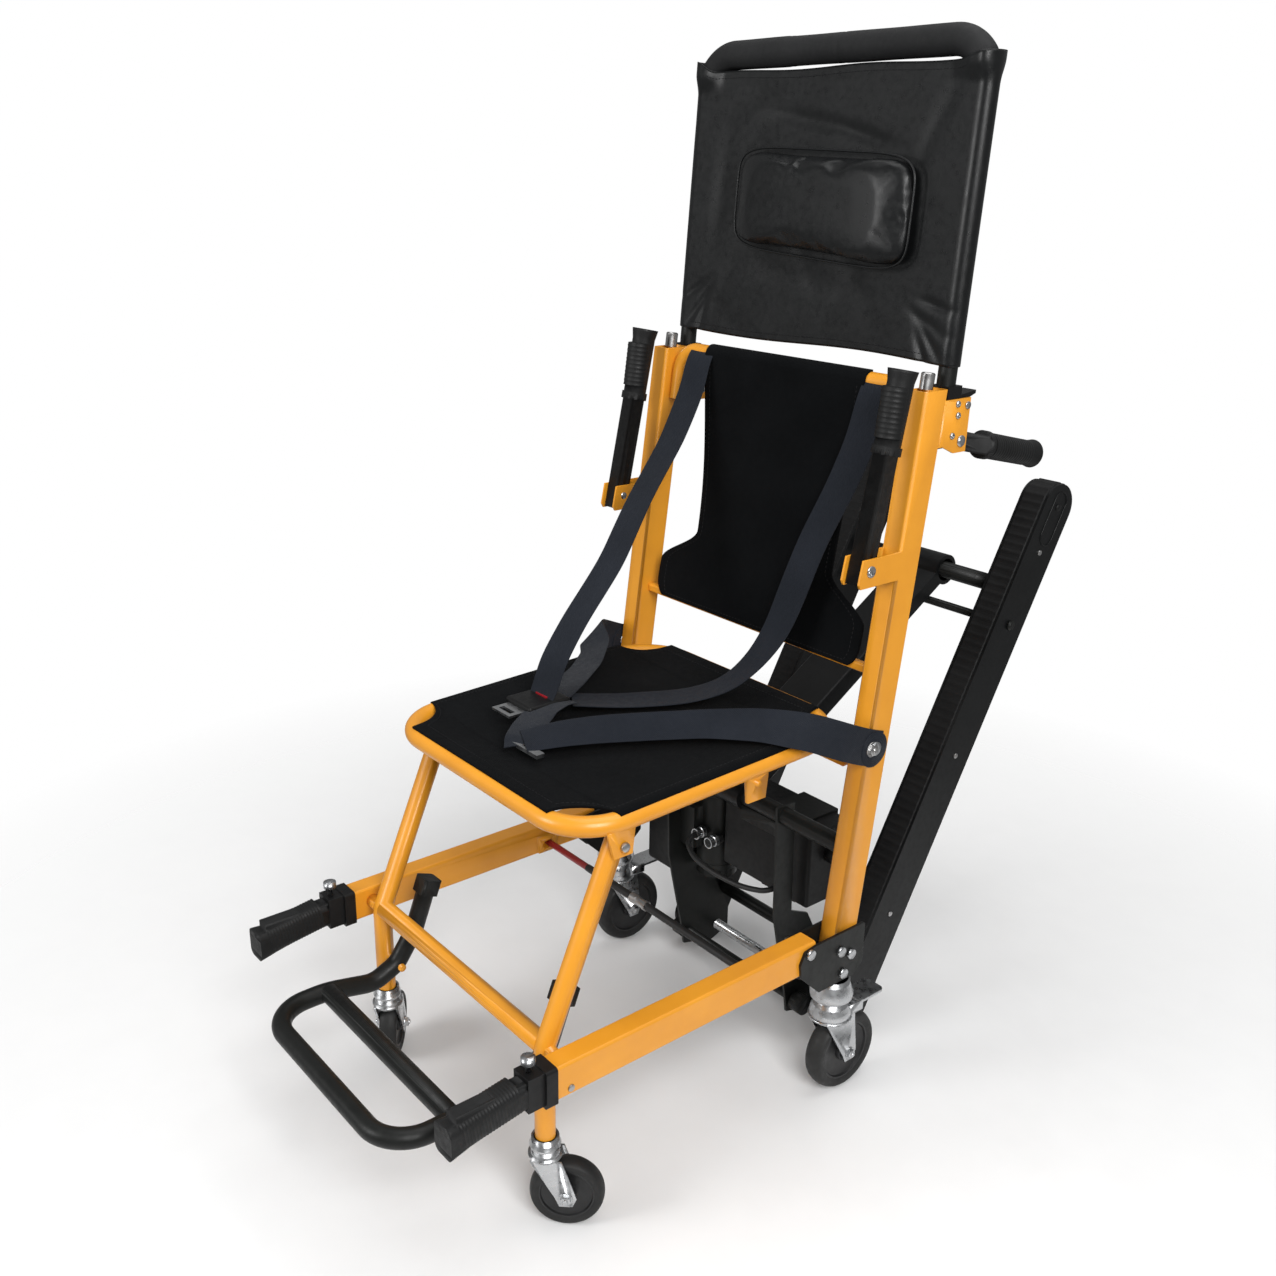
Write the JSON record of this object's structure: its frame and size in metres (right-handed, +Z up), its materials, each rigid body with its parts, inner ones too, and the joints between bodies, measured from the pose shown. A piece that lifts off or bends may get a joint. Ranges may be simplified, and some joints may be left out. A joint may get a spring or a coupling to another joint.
{
  "type": "stair chair",
  "caption": "Folding evacuation chair with powered stair tracks, carry handles, swivel casters, headrest and seat harness.",
  "frame": {"origin": "middle of the footprint, on the floor under the casters", "axes": "+X is the sitter's left, the chair faces -Y, +Z is up"},
  "size_m": [0.53, 1.1656, 1.364],
  "materials": {
    "belt_rubber": "ribbed",
    "black_alloy": "black anodised",
    "black_plastic": "fine texture",
    "black_steel": "satin powder coat",
    "cable_jacket": "smooth",
    "foam": "closed-cell foam",
    "frame_yellow": "satin powder coat",
    "grip_rubber": "matt",
    "leather_black": "soft gloss",
    "panel_fabric": "coated weave",
    "red_lever": "semi gloss",
    "tyre_black": "smooth",
    "webbing": "woven webbing",
    "zinc": "bright zinc plate"
  },
  "bodies": {
    "back_frame": {"left_upright": "frame_yellow", "right_upright": "frame_yellow", "hinge_plates": "black_steel", "frame_bolts": "zinc", "lower_back_bar": "frame_yellow", "upper_back_bar": "frame_yellow", "back_panel": "panel_fabric", "headrest_guides": "black_plastic", "equipment_tube": "black_steel", "drive_plates": "black_steel", "tie_rod": "black_steel", "gearbox": "black_plastic", "drive_motor": "black_steel", "battery_box": "black_plastic", "charge_socket": "black_plastic", "motor_cable": "cable_jacket", "shoulder_belts": "webbing", "lap_belts": "webbing"},
    "rails": {"left_rail": "frame_yellow", "right_rail": "frame_yellow", "rail_collars": "black_plastic"},
    "front_legs": {"front_leg_frame": "frame_yellow"},
    "seat": {"seat_frame": "frame_yellow", "seat_panel": "panel_fabric", "belt_buckle": "black_plastic", "belt_hardware": "zinc"},
    "footrest": {"footrest": "black_steel"},
    "headrest": {"headrest_tube": "black_steel", "foam_grip": "foam", "headrest_cover": "leather_black", "head_pillow": "leather_black"},
    "tracks": {"track_beams": "black_alloy", "track_belts": "belt_rubber", "track_cross_tubes": "black_steel"},
    "drive_axle": {"drive_axle": "zinc"},
    "track_idlers": {"track_idlers": "black_plastic"},
    "strut_housing": {"strut_housing": "black_alloy"},
    "strut_slider": {"strut_slider": "black_alloy"},
    "release_rod": {"release_rod": "red_lever"},
    "buckle_button": {"buckle_button": "red_lever"},
    "left_front_handle": {"left_front_handle": "grip_rubber"},
    "left_thumb_plunger": {"left_thumb_plunger": "zinc"},
    "left_armrest": {"left_armrest": "grip_rubber"},
    "left_rear_handle": {"left_rear_handle": "grip_rubber"},
    "left_release_lever": {"left_release_lever": "black_plastic"},
    "left_front_fork": {"left_front_fork": "zinc"},
    "left_front_wheel": {"left_front_wheel": "tyre_black"},
    "left_rear_fork": {"left_rear_fork": "zinc"},
    "left_rear_wheel": {"left_rear_wheel": "tyre_black"},
    "left_brake_pedal": {"left_brake_pedal": "zinc"},
    "right_front_handle": {"right_front_handle": "grip_rubber"},
    "right_thumb_plunger": {"right_thumb_plunger": "zinc"},
    "right_armrest": {"right_armrest": "grip_rubber"},
    "right_rear_handle": {"right_rear_handle": "grip_rubber"},
    "right_release_lever": {"right_release_lever": "black_plastic"},
    "right_front_fork": {"right_front_fork": "zinc"},
    "right_front_wheel": {"right_front_wheel": "tyre_black"},
    "right_rear_fork": {"right_rear_fork": "zinc"},
    "right_rear_wheel": {"right_rear_wheel": "tyre_black"},
    "right_brake_pedal": {"right_brake_pedal": "zinc"}
  },
  "joints": [
    {"name": "rail_fold", "type": "hinge", "parent": "back_frame", "child": "rails", "pos_m": [0, -0.01237, 0.2535], "axis": [-1, 0, 0], "range_deg": [0, 65], "deforming": ["shoulder_belts", "lap_belts"]},
    {"name": "leg_fold", "type": "hinge", "parent": "rails", "child": "front_legs", "pos_m": [0, -0.38337, 0.2455], "axis": [-1, 0, 0], "range_deg": [-65, 0]},
    {"name": "seat_fold", "type": "hinge", "parent": "back_frame", "child": "seat", "pos_m": [0, 0.08663, 0.4875], "axis": [-1, 0, 0], "range_deg": [0, 65]},
    {"name": "footrest_fold", "type": "hinge", "parent": "front_legs", "child": "footrest", "pos_m": [0, -0.38437, 0.1775], "axis": [-1, 0, 0], "range_deg": [0, 68]},
    {"name": "headrest_slide", "type": "slide", "parent": "back_frame", "child": "headrest", "axis": [0, 0.0748, 0.9972], "range_m": [-0.2, 0], "deforming": ["headrest_cover", "head_pillow"]},
    {"name": "track_fold", "type": "hinge", "parent": "back_frame", "child": "tracks", "pos_m": [0, 0.17063, 0.0475], "axis": [-1, 0, 0], "range_deg": [0, 20]},
    {"name": "strut_swing", "type": "hinge", "parent": "back_frame", "child": "strut_housing", "pos_m": [0, 0.07363, 0.3675], "axis": [-1, 0, 0], "range_deg": [0, 21.6]},
    {"name": "strut_extend", "type": "slide", "parent": "strut_housing", "child": "strut_slider", "axis": [0, 0.8447, 0.5352], "range_m": [0, 0.1162]},
    {"name": "drive_spin", "type": "hinge", "parent": "back_frame", "child": "drive_axle", "pos_m": [0, 0.17063, 0.0475], "axis": [-1, 0, 0], "continuous": true},
    {"name": "idler_spin", "type": "hinge", "parent": "tracks", "child": "track_idlers", "pos_m": [0, 0.54587, 0.74383], "axis": [-1, 0, 0], "continuous": true},
    {"name": "release_pull", "type": "slide", "parent": "rails", "child": "release_rod", "axis": [0, -1, 0], "range_m": [0, 0.008], "stiffness_N_per_m": 600},
    {"name": "buckle_press", "type": "slide", "parent": "seat", "child": "buckle_button", "axis": [0, 0, -1], "range_m": [0, 0.0025], "stiffness_N_per_m": 400},
    {"name": "left_handle_slide", "type": "slide", "parent": "rails", "child": "left_front_handle", "axis": [0, -1, 0], "range_m": [0, 0.12]},
    {"name": "left_plunger_lift", "type": "slide", "parent": "rails", "child": "left_thumb_plunger", "axis": [0, 0, 1], "range_m": [0, 0.006], "stiffness_N_per_m": 300},
    {"name": "left_armrest_fold", "type": "hinge", "parent": "back_frame", "child": "left_armrest", "pos_m": [0.235, 0.05363, 0.7535], "axis": [-1, 0, 0], "range_deg": [-97, 0]},
    {"name": "left_rear_handle_fold", "type": "hinge", "parent": "back_frame", "child": "left_rear_handle", "pos_m": [0.235, 0.20163, 0.8935], "axis": [1, 0, 0], "range_deg": [-70, 0]},
    {"name": "left_release_press", "type": "hinge", "parent": "back_frame", "child": "left_release_lever", "pos_m": [0.235, 0.20863, 0.9365], "axis": [-1, 0, 0], "range_deg": [0, 6], "stiffness_Nm_per_rad": 1.2},
    {"name": "left_front_swivel", "type": "hinge", "parent": "front_legs", "child": "left_front_fork", "pos_m": [0.19, -0.38437, 0.1232], "axis": [0, 0, 1], "continuous": true},
    {"name": "left_front_roll", "type": "hinge", "parent": "left_front_fork", "child": "left_front_wheel", "pos_m": [0.20773, -0.36536, 0.0455], "axis": [0.7314, -0.682, 0], "continuous": true},
    {"name": "left_rear_swivel", "type": "hinge", "parent": "back_frame", "child": "left_rear_fork", "pos_m": [0.235, 0.05663, 0.1832], "axis": [0, 0, 1], "continuous": true},
    {"name": "left_rear_roll", "type": "hinge", "parent": "left_rear_fork", "child": "left_rear_wheel", "pos_m": [0.235, 0.08163, 0.058], "axis": [1, 0, 0], "continuous": true},
    {"name": "left_pedal_press", "type": "hinge", "parent": "left_rear_fork", "child": "left_brake_pedal", "pos_m": [0.235, 0.09463, 0.131], "axis": [-1, 0, 0], "range_deg": [0, 8]},
    {"name": "right_handle_slide", "type": "slide", "parent": "rails", "child": "right_front_handle", "axis": [0, -1, 0], "range_m": [0, 0.12]},
    {"name": "right_plunger_lift", "type": "slide", "parent": "rails", "child": "right_thumb_plunger", "axis": [0, 0, 1], "range_m": [0, 0.006], "stiffness_N_per_m": 300},
    {"name": "right_armrest_fold", "type": "hinge", "parent": "back_frame", "child": "right_armrest", "pos_m": [-0.235, 0.05363, 0.7535], "axis": [-1, 0, 0], "range_deg": [-97, 0]},
    {"name": "right_rear_handle_fold", "type": "hinge", "parent": "back_frame", "child": "right_rear_handle", "pos_m": [-0.235, 0.20163, 0.8935], "axis": [1, 0, 0], "range_deg": [-70, 0]},
    {"name": "right_release_press", "type": "hinge", "parent": "back_frame", "child": "right_release_lever", "pos_m": [-0.235, 0.20863, 0.9365], "axis": [-1, 0, 0], "range_deg": [0, 6], "stiffness_Nm_per_rad": 1.2},
    {"name": "right_front_swivel", "type": "hinge", "parent": "front_legs", "child": "right_front_fork", "pos_m": [-0.19, -0.38437, 0.1232], "axis": [0, 0, 1], "continuous": true},
    {"name": "right_front_roll", "type": "hinge", "parent": "right_front_fork", "child": "right_front_wheel", "pos_m": [-0.20992, -0.36766, 0.0455], "axis": [0.6428, 0.766, 0], "continuous": true},
    {"name": "right_rear_swivel", "type": "hinge", "parent": "back_frame", "child": "right_rear_fork", "pos_m": [-0.235, 0.05663, 0.1832], "axis": [0, 0, 1], "continuous": true},
    {"name": "right_rear_roll", "type": "hinge", "parent": "right_rear_fork", "child": "right_rear_wheel", "pos_m": [-0.235, 0.08163, 0.058], "axis": [1, 0, 0], "continuous": true},
    {"name": "right_pedal_press", "type": "hinge", "parent": "right_rear_fork", "child": "right_brake_pedal", "pos_m": [-0.235, 0.09463, 0.131], "axis": [-1, 0, 0], "range_deg": [0, 8]}
  ],
  "couplings": [
    {"joint": "leg_fold", "follows": "rail_fold", "ratio": -1},
    {"joint": "seat_fold", "follows": "rail_fold", "ratio": 1},
    {"joint": "idler_spin", "follows": "drive_spin", "ratio": 1},
    {"joint": "strut_swing", "follows": "track_fold", "ratio": 1.072},
    {"joint": "strut_extend", "follows": "track_fold", "m_per_rad": 0.33}
  ]
}
